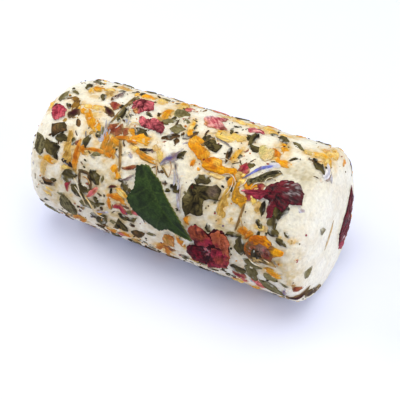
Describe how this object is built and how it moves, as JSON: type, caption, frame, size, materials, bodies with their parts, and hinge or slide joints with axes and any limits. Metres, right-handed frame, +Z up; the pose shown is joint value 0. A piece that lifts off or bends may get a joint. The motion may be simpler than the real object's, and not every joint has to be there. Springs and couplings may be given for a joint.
{
  "type": "goat cheese log with flowers",
  "caption": "Soft fresh goat cheese log lying on its side, with rounded ends, rolled in dried petals, herb leaves and stems that cover its skin.",
  "frame": {"origin": "under the middle of the log's box, on the surface that it lies on", "axes": "+X along the log towards the end cap with the wine-red petal, +Z up"},
  "size_m": [0.0964, 0.0492, 0.0463],
  "materials": {
    "cheese_log": "soft matt fresh curd with petals and leaf flakes pressed into its skin",
    "green_leaf": "dull dark green leaf with fine pale veins",
    "rose_bloom": "crumpled dried petals, dark crimson to salmon",
    "wine_petal": "dark wine petal with a slight gloss",
    "pink_petal_left": "pink-red dried petal",
    "calyx": "olive-brown dry calyx",
    "olive_leaf_left": "olive-grey dry leaf",
    "striated_leaf": "dark brown striated dry leaf",
    "rose_upper": "bright rose petals with fine folds",
    "rose_lower": "rose petals with fine folds",
    "pink_fan": "pale pink fan of petals",
    "rose_small": "small rose petal",
    "round_leaf": "pale olive round leaf",
    "dark_leaf": "dark olive leaf",
    "marigold_petal": "satin yellow-orange petal",
    "marigold_fold": "bright orange folded petal",
    "amber_petal": "amber petal",
    "crumpled_leaf": "crumpled dark leaf",
    "cornflower": "blue-violet petal with a pale edge",
    "curl_leaf": "curled olive leaf",
    "marigold_bloom": "orange petals round a dark centre",
    "peach_petal": "tan-orange petal",
    "brown_leaf": "brown dry leaf",
    "dark_leaf_low": "nearly black dry leaf",
    "end_petal": "dark wine petal with a slight gloss",
    "far_leaf": "dull green leaf with fine pale veins",
    "far_rose": "crumpled dried petals, dark crimson to salmon",
    "far_pink_petal": "bright rose petals with fine folds",
    "far_rose_petals": "rose petals with fine folds",
    "far_wine_petal": "dark wine petal with a slight gloss",
    "far_marigold": "orange petals round a dark centre",
    "far_marigold_fold": "bright orange folded petal",
    "far_marigold_petal": "satin yellow-orange petal",
    "far_olive_leaf": "dark olive striated dry leaf",
    "left_end_petal": "pink-red dried petal"
  },
  "bodies": {
    "root": {"cheese_log": "cheese_log", "green_leaf": "green_leaf", "rose_bloom": "rose_bloom", "wine_petal": "wine_petal", "pink_petal_left": "pink_petal_left", "calyx": "calyx", "olive_leaf_left": "olive_leaf_left", "striated_leaf": "striated_leaf", "rose_upper": "rose_upper", "rose_lower": "rose_lower", "pink_fan": "pink_fan", "rose_small": "rose_small", "round_leaf": "round_leaf", "dark_leaf": "dark_leaf", "marigold_petal": "marigold_petal", "marigold_fold": "marigold_fold", "amber_petal": "amber_petal", "crumpled_leaf": "crumpled_leaf", "cornflower": "cornflower", "curl_leaf": "curl_leaf", "marigold_bloom": "marigold_bloom", "peach_petal": "peach_petal", "brown_leaf": "brown_leaf", "dark_leaf_low": "dark_leaf_low", "end_petal": "end_petal", "far_leaf": "far_leaf", "far_rose": "far_rose", "far_pink_petal": "far_pink_petal", "far_rose_petals": "far_rose_petals", "far_wine_petal": "far_wine_petal", "far_marigold": "far_marigold", "far_marigold_fold": "far_marigold_fold", "far_marigold_petal": "far_marigold_petal", "far_olive_leaf": "far_olive_leaf", "left_end_petal": "left_end_petal"}
  },
  "joints": []
}
